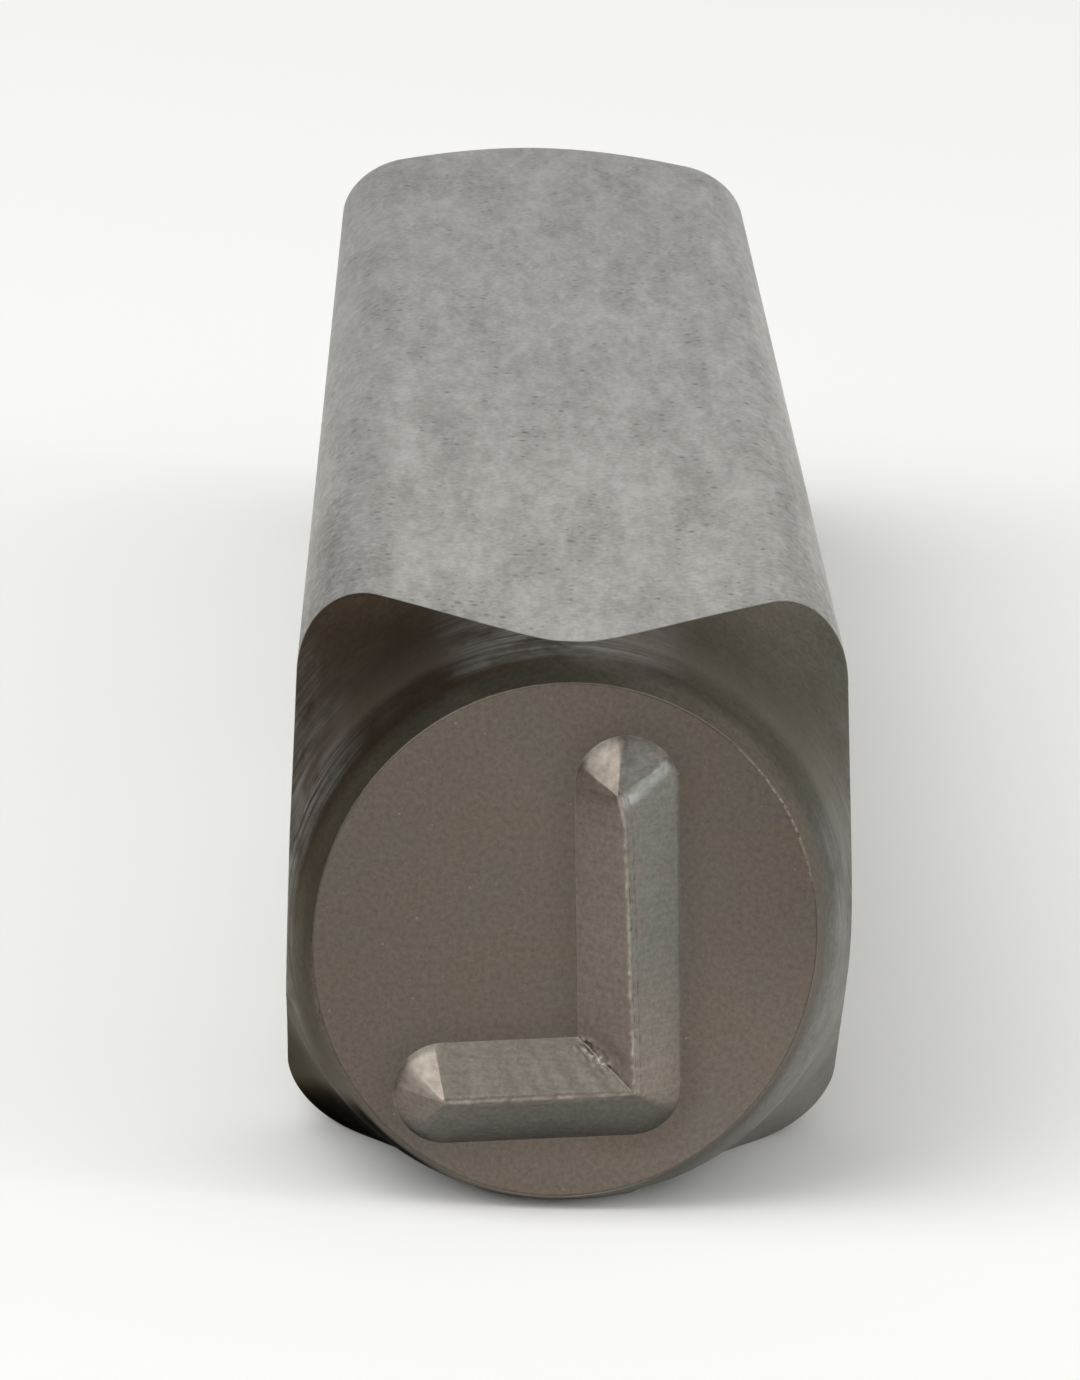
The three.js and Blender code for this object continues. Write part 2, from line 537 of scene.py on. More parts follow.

# %% [markdown]
# A rib's section is a straight flank with a small fillet at its root and a rounded crest. Beside
# the crest, on the outer side, run a fine groove and a lip, where a burr has been pressed flat,
# and nicks along the ridge show where the tool has struck something hard. The valley of the inner
# corner is rough: the steel tore a little there when the die was drawn off, and a painted highlight
# brightens the torn lumps. At the top of the stem a painted highlight runs as a bright band along
# the crease on the right side.

# %% Height over the ground
ROOT_FILLET = 0.003 * MM
GROOVE_DEPTH = 0.013 * MM
GROOVE_PLACE = 0.062 * MM
GROOVE_REACH = 0.022 * MM
LIP_HEIGHT = 0.009 * MM
LIP_PLACE = 0.11 * MM
NICK_DEPTH = 0.06 * MM
NICK_GRAIN = 0.12 * MM
CHIP_HEIGHT = 0.09 * MM
CHIP_REACH = 0.12 * MM
CHIP_GRAIN = 0.085 * MM
CHIP_HOLLOW = 0.25
# Painted highlight on the torn lumps, by their height.
CHIP_HIGHLIGHT = 1.6
CHIP_END = 0.72

flank_slope = LETTER_HEIGHT / (STROKE_HALF_WIDTH - CREST_ROUND / 2)
valley_foot = LETTER_CORNER + inner_way * STROKE_HALF_WIDTH
valley_way = stem_ridge(0) - valley_foot


def flank_height(distance, crest):
    """Height of a plain flank at a distance from a ridge that is rounded to a radius."""
    run = STROKE_HALF_WIDTH + ROOT_FILLET - distance
    if run <= 0:
        return 0
    if run < 2 * ROOT_FILLET:
        return flank_slope * run**2 / (4 * ROOT_FILLET)
    if distance > crest:
        return flank_slope * (STROKE_HALF_WIDTH - distance)
    return flank_slope * (STROKE_HALF_WIDTH - crest / 2 - distance**2 / (2 * crest))


def ridge_marks(place, distance, side_groove):
    """How much the groove and the nicks take off beside and along the ridge."""
    nick = max(0, noise.noise(place / NICK_GRAIN)) * math.exp(-((distance / CREST_ROUND) ** 2))
    groove = GROOVE_DEPTH * math.exp(-(((distance - GROOVE_PLACE) / GROOVE_REACH) ** 2))
    lip = LIP_HEIGHT * math.exp(-(((distance - LIP_PLACE) / GROOVE_REACH) ** 2))
    unevenness = max(0, 1 + 2 * noise.noise(place.zxy / NICK_GRAIN))
    return NICK_DEPTH * nick + (groove - lip) * unevenness * side_groove


def chips(place):
    """Height of the torn steel in the valley of the inner corner."""
    offset = place - valley_foot
    share = offset.dot(valley_way) / valley_way.length_squared
    away = (offset - valley_way * share).length
    start = share / CHIP_REACH * valley_way.length
    window = max(0, min(1, start, (CHIP_END - share) / (1 - CHIP_END)))
    bell = math.exp(-((away / CHIP_REACH) ** 2))
    lump = noise.noise(place / CHIP_GRAIN)
    return CHIP_HEIGHT * window * bell * max(lump, lump * CHIP_HOLLOW)


print("flank slope", round(flank_slope, 3))

# %% Painted highlight band at the top of the stem
BAND_START = stem_ridge(1) + Vector((0.15, 0, -0.13)) * MM
BAND_END = stem_ridge(1) + Vector((1, 0, 0.51)) * MM
BAND_REACH = 0.14 * MM
BAND_HIGHLIGHT = 0.8
BAND_PATCHES = 0.5


def band(place):
    """Painted highlight at a place, by its distance from the middle of the bright band."""
    run = BAND_END - BAND_START
    share = max(0, min(1, (place - BAND_START).dot(run) / run.length_squared))
    away = (place - BAND_START - run * share).length
    patchy = 1 + BAND_PATCHES * noise.noise(place / CHIP_GRAIN)
    return BAND_HIGHLIGHT * patchy * math.exp(-((away / BAND_REACH) ** 2))


print("band", round((BAND_END - BAND_START).length / MM, 2), "mm long")

# %% Contours of the letter
FLANK_STEPS = 26
CREST_STEPS = 14
CREST_SPAN = 0.2 * MM
FACET_FADE = 0.55
CREST_WEAR = 0.035 * MM
CREST_POLISH = 0.62
HIGHLIGHT_EDGE = 0.16
HIGHLIGHT_GRAIN = 0.09 * MM


def contour_distances():
    """Distances from the ridge at which the contours lie, from the ground inward."""
    root = [STROKE_HALF_WIDTH + ROOT_FILLET * step / 2 for step in (4, 2, 1, 0, -1, -2)]
    start = STROKE_HALF_WIDTH - ROOT_FILLET
    run = CREST_SPAN - start
    flank = [start + run * step / FLANK_STEPS for step in range(1, FLANK_STEPS + 1)]
    crest = [CREST_SPAN * (1 - step / CREST_STEPS) for step in range(1, CREST_STEPS + 1)]
    return root + flank + crest


def contour(distance):
    """One closed contour of the letter, and the wear and painted highlight of its points."""
    share = distance / STROKE_HALF_WIDTH
    facet = max(0, min(1, (1 - share) / (1 - FACET_FADE)))
    points, wear_and_highlight = [], []
    for one in ribs:
        torn = 0
        highlight_and_wear = 0
        if share > 1:
            flat = one["foot"] + one["way"] * (distance - STROKE_HALF_WIDTH)
        else:
            stretch = 1 + (one["stretch"] - 1) * facet
            flat = one["ridge"] + (one["foot"] - one["ridge"]) * share * stretch
        height = flank_height(distance, one["crest"])
        if share < 1:
            torn = 0 if one["groove"] else chips(flat)
            height = max(0, height + torn - ridge_marks(flat, distance, one["groove"]))
            spot = 1 + 0.35 * noise.noise(flat / HIGHLIGHT_GRAIN)
            fade = min(1, (1 - share) / HIGHLIGHT_EDGE)
            # Painted highlight on the end facets and along the bright band at the top of the stem.
            highlight_and_wear = max(one["facet_highlight"] * spot, band(flat)) * fade
        points.append(nose_point + flat - Vector((0, height, 0)))
        patchy = 0.75 + noise.noise(flat / NICK_GRAIN)
        crest = CREST_POLISH * patchy * math.exp(-((distance / CREST_WEAR) ** 2))
        # Wear of the crest, with painted highlights on the torn lumps, the facets and the band.
        wear_and_highlight.append(max(0, crest, torn / CHIP_HEIGHT * CHIP_HIGHLIGHT, highlight_and_wear))
    return points, wear_and_highlight


contours, letter_wear_and_highlight = zip(*[contour(distance) for distance in contour_distances()])
print(len(contours), "contours of", len(contours[0]), "points")

# %% [markdown]
# Columns and contours become one closed mesh. The flat ground between the letter's lowest contour
# and the first row of the columns is filled with triangles, and the struck face is closed by a fan.

# %% Build the mesh
MERGE = 1e-4 * MM


def lay_strips(mesh, layer, loops, wear_and_highlight, finish_of):
    """Joins neighbouring loops of the same number of points with quads."""
    rings = []
    for loop, worn in zip(loops, wear_and_highlight):
        ring = [mesh.verts.new(point) for point in loop]
        for vertex, amount in zip(ring, worn):
            vertex[layer] = amount
        rings.append(ring)
    for level, (lower, upper) in enumerate(zip(rings, rings[1:])):
        for place in range(len(lower)):
            after = (place + 1) % len(lower)
            quad = mesh.faces.new((lower[place], lower[after], upper[after], upper[place]))
            quad.material_index = finish_of(level)
    return rings


def close_ground(mesh, loops):
    """Fills the flat ground between the letter and the edge of the nose."""
    border = []
    for ring in loops:
        for place in range(len(ring)):
            border.append(mesh.edges.get((ring[place], ring[(place + 1) % len(ring)])))
    filled = bmesh.ops.triangle_fill(mesh, edges=border, use_beauty=True)
    for part in filled["geom"]:
        if isinstance(part, bmesh.types.BMFace):
            part.material_index = GROUND


def build_stamp():
    """The whole stamp as one closed mesh."""
    mesh = bmesh.new()
    # Wear of the edges, and on the letter also its painted highlights.
    layer = mesh.verts.layers.float.new("wear_and_highlight")
    bar_finishes = strip_finishes + [STRUCK] * STRUCK_RINGS
    bar_wear = [[amount] * len(section) for amount in row_wear + [0] * STRUCK_RINGS]
    bar_rings = lay_strips(mesh, layer, bar_rows + dented, bar_wear, lambda level: bar_finishes[level])
    letter_finishes = [GROUND] + [LETTER] * len(contours)
    letter_rings = lay_strips(mesh, layer, contours, letter_wear_and_highlight, lambda level: letter_finishes[level])
    last = bar_rings[-1]
    centre = mesh.verts.new(middle + Vector((0, struck_y - dent_depth(Vector()), 0)))
    for place in range(len(last)):
        fan = mesh.faces.new((last[place], last[(place + 1) % len(last)], centre))
        fan.material_index = STRUCK
    close_ground(mesh, (bar_rings[0], letter_rings[0]))
    bmesh.ops.remove_doubles(mesh, verts=mesh.verts, dist=MERGE)
    bmesh.ops.recalc_face_normals(mesh, faces=mesh.faces)
    for face in mesh.faces:
        face.smooth = True
    data = bpy.data.meshes.new("stamp_steel")
    mesh.to_mesh(data)
    open_edges = sum(1 for edge in mesh.edges if not edge.is_manifold)
    print("stamp mesh:", len(mesh.verts), "vertices,", len(mesh.faces), "faces,",
          open_edges, "open edges")
    mesh.free()
    return data


stamp = bpy.data.objects.new("stamp_steel", build_stamp())
bpy.context.scene.collection.objects.link(stamp)
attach(stamp, "root")
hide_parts(BODY_NODE)

# %% [markdown]
# The finishes are all one steel in different states. Colours are written as sRGB hex values, as
# a paint chart gives them, and turned to the linear values that the renderer works in. Steel is a
# metal, so its colour is the colour of its reflections, and its IOR stays at the default. Every
# pattern is laid out in object space in real sizes, so it stays on the steel from any side.

# %% Helpers for materials
SRGB_KNEE = 0.04045
MIX_A, MIX_B = 6, 7


def linear(hex_colour):
    """An sRGB hex colour as linear red, green, blue and alpha."""
    values = [int(hex_colour[place:place + 2], 16) / 255 for place in (1, 3, 5)]
    return [v / 12.92 if v <= SRGB_KNEE else ((v + 0.055) / 1.055) ** 2.4 for v in values] + [1]


def feed(tree, node, inputs):
    """Gives inputs of a node their values or links. A node stands for its first output in use."""
    for name, value in inputs.items():
        if isinstance(value, bpy.types.Node):
            value = next(output for output in value.outputs if output.enabled)
        if isinstance(value, bpy.types.NodeSocket):
            tree.links.new(value, node.inputs[name])
        else:
            node.inputs[name].default_value = value


def add(tree, kind, inputs=None, **settings):
    """Adds a node of a kind with its settings, and feeds its inputs."""
    made = tree.nodes.new("ShaderNode" + kind)
    for name, value in settings.items():
        setattr(made, name, value)
    feed(tree, made, inputs or {})
    return made


def new_steel(name):
    """A bare steel material: its node tree, its shader and its object coordinates."""
    material = bpy.data.materials.new(name)
    material.use_nodes = True
    tree = material.node_tree
    shader = tree.nodes["Principled BSDF"]
    shader.inputs["Metallic"].default_value = 1
    stamp.data.materials.append(material)
    print("finish", len(stamp.data.materials), name)
    return tree, shader, add(tree, "TexCoord").outputs["Object"]


def dress(tree, shader, colour, rough, relief, tint=(1, 1, 1, 1)):
    """Gives a steel its colour, its roughness over one pattern and its relief from another."""
    pattern, least, most = rough
    heights, strength, depth = relief
    feed(tree, shader, {
        "Base Color": colour,
        "Specular Tint": tint,
        "Roughness": add(tree, "MapRange", {"Value": pattern, "To Min": least, "To Max": most}),
        "Normal": add(tree, "Bump", {"Height": heights, "Strength": strength, "Distance": depth}),
    })


print("mid grey", round(linear("#808080")[0], 3))

# %% Helpers for patterns and colours
NOISE_LOW, NOISE_HIGH = 0.3, 0.7


def per_size(across, along):
    """Scale of a pattern that much across and along the bar, in metres."""
    return (1 / across, 1 / along, 1 / across)


def together(tree, *shares):
    """The share where all of some shares hold."""
    held = shares[0]
    for share in shares[1:]:
        held = add(tree, "Math", {0: held, 1: share}, operation="MULTIPLY")
    return held


def lifted(tree, colour, share, gain):
    """A colour made lighter by a gain where a share is 1, or darker by a gain under 1."""
    level = add(tree, "MapRange", {"Value": share, "To Min": 1, "To Max": gain})
    return add(tree, "VectorMath", {0: colour, 1: level}, operation="MULTIPLY")


def shaded(tree, colour, pattern, depth):
    """A colour made darker and lighter by a noise pattern, by that share each way."""
    level = add(tree, "MapRange", {
        "Value": pattern, "From Min": NOISE_LOW, "From Max": NOISE_HIGH,
        "To Min": 1 - depth, "To Max": 1 + depth,
    })
    return add(tree, "VectorMath", {0: colour, 1: level}, operation="MULTIPLY")


def spots(tree, place, scale, share, most):
    """Round spots of mixed sizes, one to a cell, up to a share of the cell's own size."""
    cells = add(tree, "TexVoronoi", {"Vector": place, "Scale": scale})
    chance = add(tree, "SeparateXYZ", {0: cells.outputs["Color"]})
    return add(tree, "MapRange", {
        "Value": cells.outputs["Distance"], "From Min": together(tree, chance, share),
        "From Max": 0, "To Max": most,
    })


print("noise levels", NOISE_LOW, "to", NOISE_HIGH)

# %% [markdown]
# Two of the tools that shaped this bar leave marks that run round an axis: the lathe on the nose,
# and the grinding wheel on the taper, which turns while it is ground. Both patterns need the same
# coordinates: the way round the axis, stretched to the length of a mark, and the way along the
# profile, squeezed to the width of one. A unit vector gives the way round without a seam.

# %% Coordinates round an axis
def about_axis(tree, place, centre):
    """The outward way, the radius and the depth of a place about an axis along the bar."""
    offset = add(tree, "VectorMath", {0: place, 1: centre}, operation="SUBTRACT")
    flat = add(tree, "VectorMath", {0: offset, 1: (1, 0, 1)}, operation="MULTIPLY")
    way = add(tree, "VectorMath", {0: flat}, operation="NORMALIZE")
    radius = add(tree, "VectorMath", {0: flat}, operation="LENGTH")
    return way, radius, add(tree, "SeparateXYZ", {0: offset}).outputs["Y"]


def ring_marks(tree, way, radius, depth, mark_length, mark_width):
    """Coordinates with one unit to a mark round the axis and along the profile."""
    profile = add(tree, "Math", {0: radius, 1: depth}, operation="ADD")
    across = add(tree, "CombineXYZ", {"Y": together(tree, profile, 1 / mark_width)})
    turns = (half_side / mark_length, 0, half_side / mark_length)
    around = add(tree, "VectorMath", {0: way, 1: turns}, operation="MULTIPLY")
    return add(tree, "VectorMath", {0: around, 1: across}, operation="ADD")


def toward(tree, way, degrees, spread):
    """How near the outward way is to a direction seen from the front, from 0 to 1."""
    angle = math.radians(degrees)
    heading = (math.cos(angle), 0, math.sin(angle))
    near = add(tree, "VectorMath", {0: way, 1: heading}, operation="DOT_PRODUCT")
    return add(tree, "MapRange", {
        "Value": near, "From Min": math.cos(math.radians(spread)), "From Max": 1,
    }, interpolation_type="SMOOTHSTEP")


def patches(tree, way, sides, least=0.0):
    """The largest share of some patches, each with its direction, its spread and its most."""
    share = least
    for degrees, spread, most in sides:
        amount = together(tree, toward(tree, way, degrees, spread), most)
        share = add(tree, "Math", {0: amount, 1: share}, operation="MAXIMUM")
    return share


print("nose axis", [round(value / MM, 2) for value in NOSE_OFFSET], "mm from the bar's")

# %% [markdown]
# ## The ground of the letter: pressed and hardened tool steel
# The die pressed this face flat, and hardening left a thin warm grey skin on it. To the eye it is
# even from a step away, with a fine grain, faint clouds of a cooler and a warmer grey, and a few
# bright pin pricks where the skin is rubbed through. Painted shade darkens it beside the letter and
# toward the upper right and the left, and painted light makes it lighter at the lower right. The
# lip of the ground's edge is rubbed bright on the upper right. The material slots follow the order
# of the finishes that the mesh was given, so this one comes first.

# %% Ground of the letter
GROUND_COOL = "#69625b"
GROUND_WARM = "#6c6157"
GROUND_GRAIN = 0.1 * MM
GROUND_CLOUD = 1.3 * MM
GROUND_SHADE = 0.24
GROUND_ROUGHNESS = (0.4, 0.56)
GROUND_RELIEF = (1, 0.003 * MM)
# Painted light and shade toward the ground's sides: darker upper right and left, lighter lower right.
SIDE_START = 0.3
GROUND_PAINTED_LIGHT_SIDES = [
    (Vector((0.7, 0, 0.71)), 0.82),
    (Vector((0.5, 0, -0.87)), 1.2),
    (Vector((-0.98, 0, 0.17)), 0.92),
]
# Painted shade beside the strokes of the letter: how far it reaches and how dark it is.
BESIDE_SHADE_REACH = 0.6 * MM
BESIDE_SHADE_SHARE = 0.1
PRICK_SPACING = 0.3 * MM
PRICK_SHARE = 0.11
PRICK_CLEAR = 0.7
PRICK_COLOUR = "#958b80"
LIP_COLOUR = "#93897e"
EDGE_SHARE = 0.72
LIP_SIDE = (33, 24)


def beside_stroke(tree, offset, end):
    """Painted shade near the foot of a stroke that runs from the letter's corner to its end."""
    run = end - LETTER_CORNER
    start = add(tree, "VectorMath", {0: offset, 1: LETTER_CORNER}, operation="SUBTRACT")
    along = add(tree, "VectorMath", {
        0: start, 1: run / run.length_squared,
    }, operation="DOT_PRODUCT")
    share = add(tree, "Clamp", {0: along})
    reached = add(tree, "VectorMath", {0: run, "Scale": share}, operation="SCALE")
    away = add(tree, "VectorMath", {0: start, 1: reached}, operation="DISTANCE")
    return add(tree, "MapRange", {
        "Value": away, "From Min": STROKE_HALF_WIDTH + BESIDE_SHADE_REACH,
        "From Max": STROKE_HALF_WIDTH, "To Max": BESIDE_SHADE_SHARE,
    }, interpolation_type="SMOOTHSTEP")


def ground_light_and_shade(tree, place):
    """Painted light and shade on the ground: shade beside the letter, and changes toward its sides."""
    offset = add(tree, "VectorMath", {0: place, 1: nose_point}, operation="SUBTRACT")
    level = 1.0
    # Painted light and shade toward the sides.
    for side, most in GROUND_PAINTED_LIGHT_SIDES:
        reached = add(tree, "VectorMath", {0: offset, 1: side}, operation="DOT_PRODUCT")
        change = add(tree, "MapRange", {
            "Value": reached, "From Min": SIDE_START * GROUND_RADIUS, "From Max": GROUND_RADIUS,
            "To Min": 1, "To Max": most,
        })
        level = together(tree, change, level)
    # Painted shade beside each stroke.
    for end in (stem_top, foot_end):
        shade_beside = beside_stroke(tree, offset, end)
        level = add(tree, "Math", {0: level, 1: shade_beside}, operation="SUBTRACT")
    return level


def pressed_ground():
    """Warm grey hardened skin with a fine grain, clouds and bright pin pricks."""
    tree, shader, place = new_steel("pressed_hardened_steel")
    grain = add(tree, "TexNoise", {
        "Vector": place, "Scale": 1 / GROUND_GRAIN, "Detail": 6, "Roughness": 0.75,
    })
    cloud = add(tree, "TexNoise", {
        "Vector": place, "Scale": 1 / GROUND_CLOUD, "Detail": 5, "Roughness": 0.55,
    })
    warmth = add(tree, "MapRange", {"Value": cloud, "From Min": 0.35, "From Max": 0.65})
    skin = add(tree, "Mix", {
        0: warmth, MIX_A: linear(GROUND_COOL), MIX_B: linear(GROUND_WARM),
    }, data_type="RGBA")
    level = ground_light_and_shade(tree, place)
    skin = add(tree, "VectorMath", {0: skin, 1: level}, operation="MULTIPLY")
    skin = shaded(tree, skin, grain, GROUND_SHADE)
    prick = spots(tree, place, 1 / PRICK_SPACING, PRICK_SHARE, PRICK_CLEAR)
    skin = add(tree, "Mix", {0: prick, MIX_A: skin, MIX_B: linear(PRICK_COLOUR)}, data_type="RGBA")
    way, _, _ = about_axis(tree, place, nose_point + NOSE_OFFSET)
    wear_and_highlight = add(tree, "Attribute", attribute_name="wear_and_highlight").outputs["Fac"]
    broken = add(tree, "MapRange", {"Value": grain, "From Min": 0.4, "From Max": 0.6})
    lip = together(tree, wear_and_highlight, broken, toward(tree, way, *LIP_SIDE))
    skin = lifted(tree, skin, wear_and_highlight, EDGE_SHARE)
    colour = add(tree, "Mix", {0: lip, MIX_A: skin, MIX_B: linear(LIP_COLOUR)}, data_type="RGBA")
    dress(tree, shader, colour, (grain, *GROUND_ROUGHNESS), (grain, *GROUND_RELIEF))


pressed_ground()

# %% [markdown]
# ## The nose: turned and hardened tool steel
# The nose was cut on a lathe, so its marks run round it: fine arcs over a dark skin that hardening
# left. Painted light and shade vary the skin round the nose: painted shade makes it dark brown at the
# upper left, a little darker at the left and nearly black in the lowest left corner, and painted
# light makes it light grey at the lower right, lighter at the bottom and the top, and paler in the
# upper corners far back in the cove. Both sides, the top and the lower right lay against other
# stamps, and there the arcs are bright in patches, partly rubbed and partly a painted sheen. The
# steep rim beside the ground has its own painted light and shade, which changes less round the nose,
# and in two places the warm skin of the ground runs over its edge. An oxide skin doesn't flare at a
# glancing angle as bare metal does, and the specular tint holds that back.

# %% Nose
# Painted light and shade: the skin's colour from its darkest side to its lightest, at the lower right.
SKIN_PAINTED_LIGHT_STOPS = [
    (0.0, "#382f26"),
    (0.08, "#423b31"),
    (0.17, "#5b564e"),
    (0.3, "#433f37"),
    (0.4, "#454139"),
    (0.5, "#4e4b43"),
    (0.64, "#54524c"),
    (0.76, "#62615f"),
    (0.93, "#7e7e7d"),
    (1.0, "#8a8a89"),
]
# The rim's own painted light and shade.
RIM_PAINTED_LIGHT_STOPS = [
    (0.0, "#534f45"),
    (0.06, "#454239"),
    (0.14, "#49463d"),
    (0.24, "#514e46"),
    (0.36, "#5d5951"),
    (0.5, "#69655d"),
    (0.75, "#6d6962"),
    (0.9, "#797671"),
    (1.0, "#7c7974"),
]
# The way round the nose toward which the painted light is strongest.
PAINTED_LIGHT_WAY = Vector((0.694, 0, -0.72))
SKIN_STIR = 0.2
SKIN_SHADE = 0.24
# Painted shade: the lowest left corner of the nose is near black, in colour and in specular tint.
CONTACT_SHADE_COLOUR = "#231f18"
CONTACT_SHADE_SIDE = (-127.5, 15)
CONTACT_SHADE_SHARE = 0.96
CONTACT_SHADE_TINT = "#55514a"
SKIN_TINT = "#e2ddd4"
DULL_TINT = "#b4afa6"
DULL_SIDES = [(-152, 20, 1), (157, 17, 0.7)]
DULL_DEPTH = (0.9 * MM, 1.7 * MM)
RIM_TINT = "#c6c1b9"
RIM_END = 0.75 * MM
SPILL_COLOUR = "#7d7166"
SPILL_SIDES = [(36, 26, 0.8), (-155, 26, 0.6)]
SPILL_REACH = 0.4 * MM
# Painted light at the bottom and the top, and a little painted shade at the left.
PAINTED_LIGHT_GAINS = [((-93, 30), 2.1), ((-168, 42), 0.9), ((80, 45), 1.42), ((66, 27), 1.42)]
# Painted light: the upper corners far back in the cove are paler.
CORNER_SIDE = (90, 75)
CORNER_PAINTED_LIGHT = 2.2
CORNER_DEPTH = (3.2 * MM, 5.4 * MM)
# The lathe's arcs are bright in patches on these sides: partly rubbed steel, partly a painted sheen.
ARC_SHEEN_SIDES = [(175, 43, 0.62), (-10, 52, 0.5), (91, 28, 0.75), (-47, 30, 0.5)]
ARC_SHEEN_DEPTH = (0.8 * MM, 1.05 * MM)
LEAST_ARC_SHEEN = 0.03
ARC_COLOUR = "#adadaa"
ARC_LENGTH = 3.2 * MM
ARC_WIDTH = 0.09 * MM
SKIN_GRAIN = 0.11 * MM
SKIN_CLOUD = 0.9 * MM
NOSE_ROUGHNESS = (0.42, 0.5)
NOSE_RELIEF = (0.6, 0.004 * MM)


def colour_stops(tree, level, stops):
    """The colour at a level between stops, each with its place and its hex value."""
    ramp = add(tree, "ValToRGB", {0: level})
    elements = ramp.color_ramp.elements
    for position, _ in stops[1:-1]:
        elements.new(position)
    for element, (_, colour) in zip(elements, stops):
        element.color = linear(colour)
    return ramp.outputs[0]


def nose_skin(tree, way, depth, cloud, past_rim):
    """Skin and rim colour round the nose, painted shade and light from near black to light grey."""
    side = add(tree, "VectorMath", {0: way, 1: PAINTED_LIGHT_WAY}, operation="DOT_PRODUCT")
    share = add(tree, "MapRange", {"Value": side, "From Min": -1})
    stirred = add(tree, "Math", {0: cloud, 1: SKIN_STIR, 2: share}, operation="MULTIPLY_ADD")
    level = add(tree, "Math", {0: stirred, 1: SKIN_STIR / 2}, operation="SUBTRACT")
    # Painted light in the upper corners far back in the cove.
    corner = add(tree, "MapRange", {
        "Value": depth, "From Min": CORNER_DEPTH[0], "From Max": CORNER_DEPTH[1],
    })
    upper = together(tree, corner, toward(tree, way, *CORNER_SIDE))
    skin = lifted(tree, colour_stops(tree, level, SKIN_PAINTED_LIGHT_STOPS), upper, CORNER_PAINTED_LIGHT)
    rim = colour_stops(tree, level, RIM_PAINTED_LIGHT_STOPS)
    both = add(tree, "Mix", {0: past_rim, MIX_A: rim, MIX_B: skin}, data_type="RGBA")
    # Painted light and shade round the nose.
    for direction, gain in PAINTED_LIGHT_GAINS:
        both = lifted(tree, both, toward(tree, way, *direction), gain)
    return both


def spilled(tree, way, depth, grain):
    """Where the warm skin of the ground runs over the edge onto the rim."""
    near_edge = add(tree, "MapRange", {"Value": depth, "From Min": SPILL_REACH, "From Max": 0})
    patchy = add(tree, "MapRange", {"Value": grain, "From Min": 0.4, "From Max": 0.55})
    return together(tree, near_edge, patchy, patches(tree, way, SPILL_SIDES))


def turned_nose():
    """Dark hardened skin, painted light and shade, arcs partly rubbed and partly painted sheen."""
    tree, shader, place = new_steel("turned_hardened_steel")
    way, radius, depth = about_axis(tree, place, nose_point + NOSE_OFFSET)
    cloud = add(tree, "TexNoise", {
        "Vector": place, "Scale": 1 / SKIN_CLOUD, "Detail": 4, "Roughness": 0.6,
    })
    grain = add(tree, "TexNoise", {
        "Vector": place, "Scale": 1 / SKIN_GRAIN, "Detail": 5, "Roughness": 0.75,
    })
    past_rim = add(tree, "MapRange", {
        "Value": depth, "From Min": RIM_END / 2, "From Max": RIM_END,
    })
    skin = shaded(tree, nose_skin(tree, way, depth, cloud, past_rim), grain, SKIN_SHADE)
    warm = spilled(tree, way, depth, grain)
    skin = add(tree, "Mix", {0: warm, MIX_A: skin, MIX_B: linear(SPILL_COLOUR)}, data_type="RGBA")
    # Painted shade in the lowest left corner.
    contact_shade = together(tree, toward(tree, way, *CONTACT_SHADE_SIDE), CONTACT_SHADE_SHARE, past_rim)
    skin = add(tree, "Mix", {0: contact_shade, MIX_A: skin, MIX_B: linear(CONTACT_SHADE_COLOUR)}, data_type="RGBA")
    arcs = add(tree, "TexNoise", {
        "Vector": ring_marks(tree, way, radius, depth, ARC_LENGTH, ARC_WIDTH),
        "Scale": 1, "Detail": 4, "Roughness": 0.75,
    })
    bright = add(tree, "MapRange", {"Value": arcs, "From Min": 0.36, "From Max": 0.64})
    patchy = add(tree, "MapRange", {"Value": cloud, "From Min": 0.3, "From Max": 0.55})
    clear = add(tree, "MapRange", {
        "Value": depth, "From Min": ARC_SHEEN_DEPTH[0], "From Max": ARC_SHEEN_DEPTH[1], "To Max": patchy,
    })
    # Arcs bright in patches: partly rubbed, partly a painted sheen.
    highlight_and_wear = together(tree, clear, patches(tree, way, ARC_SHEEN_SIDES, LEAST_ARC_SHEEN), bright)
    in_cove = add(tree, "MapRange", {
        "Value": depth, "From Min": DULL_DEPTH[0], "From Max": DULL_DEPTH[1],
    })
    dull = together(tree, patches(tree, way, DULL_SIDES), in_cove)
    tint = add(tree, "Mix", {
        0: past_rim, MIX_A: linear(RIM_TINT), MIX_B: linear(SKIN_TINT),
    }, data_type="RGBA")
    tint = add(tree, "Mix", {0: dull, MIX_A: tint, MIX_B: linear(DULL_TINT)}, data_type="RGBA")
    tint = add(tree, "Mix", {0: contact_shade, MIX_A: tint, MIX_B: linear(CONTACT_SHADE_TINT)}, data_type="RGBA")
    colour = add(tree, "Mix", {0: highlight_and_wear, MIX_A: skin, MIX_B: linear(ARC_COLOUR)}, data_type="RGBA")
    dress(tree, shader, colour, (highlight_and_wear, *NOSE_ROUGHNESS), (arcs, *NOSE_RELIEF), tint)


turned_nose()

# %% [markdown]
# ## The shank: drawn tool steel
# The bar was drawn through a die and its flats were cleaned bright after hardening. The cleaning
# leaves soft clouds, stretched along the bar, with fine flecks in them, over fine lengthwise
# lines, and it misses small dark pits, which gather in the dark clouds. The rounded edges and the
# left side keep spots of the old skin, most of all near the nose, so they are a little darker. The
# steel has painted light near the nose and painted shade toward the head.

